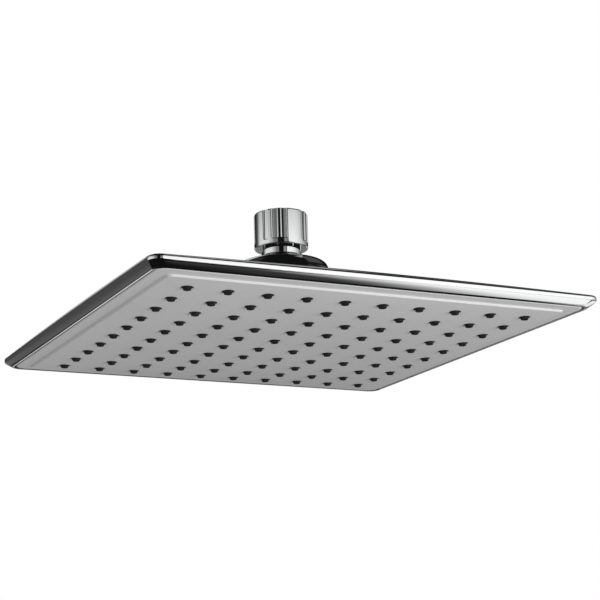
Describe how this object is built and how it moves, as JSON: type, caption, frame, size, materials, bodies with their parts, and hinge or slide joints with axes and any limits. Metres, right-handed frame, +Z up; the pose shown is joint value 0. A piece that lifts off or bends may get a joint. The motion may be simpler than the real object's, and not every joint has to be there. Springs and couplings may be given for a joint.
{
  "type": "rain shower head",
  "caption": "Square chromed overhead rain shower head with a grey pillow-shaped spray face, black silicone nozzles, a domed back and a swivelling ball inlet with fluted collar.",
  "frame": {"origin": "on the inlet axis, at the mouth of the inlet thread, where the thread starts inside the collar's lead-in chamfer", "axes": "+Z up out of the inlet along its axis, X and Y along the sides of the square face; the spray face points to -Z"},
  "size_m": [0.2, 0.2, 0.0619],
  "materials": {
    "chrome_brass": "polished chrome plate on brass",
    "chrome_shell": "polished chrome plate on moulded plastic",
    "face_grey": "fine satin moulded plastic",
    "silicone": "matte black silicone",
    "seal_rubber": "matte black rubber",
    "acetal": "natural white, smooth",
    "inner_plastic": "plain moulded plastic",
    "stainless": "plain bright steel"
  },
  "bodies": {
    "inlet": {"ball_connector": "chrome_brass", "inlet_washer": "seal_rubber", "filter_screen": "stainless", "flow_regulator": "acetal", "regulator_ring": "seal_rubber"},
    "seal": {"ball_seal_ring": "seal_rubber"},
    "liner": {"ball_liner": "acetal"},
    "head": {"dome_cap": "chrome_brass", "ball_seat": "acetal", "seat_seal_ring": "seal_rubber", "top_cover": "chrome_shell", "face_plate": "face_grey", "nozzle_mat": "silicone", "water_plate": "inner_plastic", "chamber_screws": "stainless", "chamber_gasket": "seal_rubber"}
  },
  "joints": [
    {"name": "head_spin", "type": "hinge", "parent": "inlet", "child": "seal", "pos_m": [0, 0, -0.0315], "axis": [0, 0, 1], "continuous": true},
    {"name": "tilt_sideways", "type": "hinge", "parent": "seal", "child": "liner", "pos_m": [0, 0, -0.0315], "axis": [1, 0, 0], "range_deg": [-10, 10]},
    {"name": "tilt_forward", "type": "hinge", "parent": "liner", "child": "head", "pos_m": [0, 0, -0.0315], "axis": [0, 1, 0], "range_deg": [-10, 10]}
  ]
}
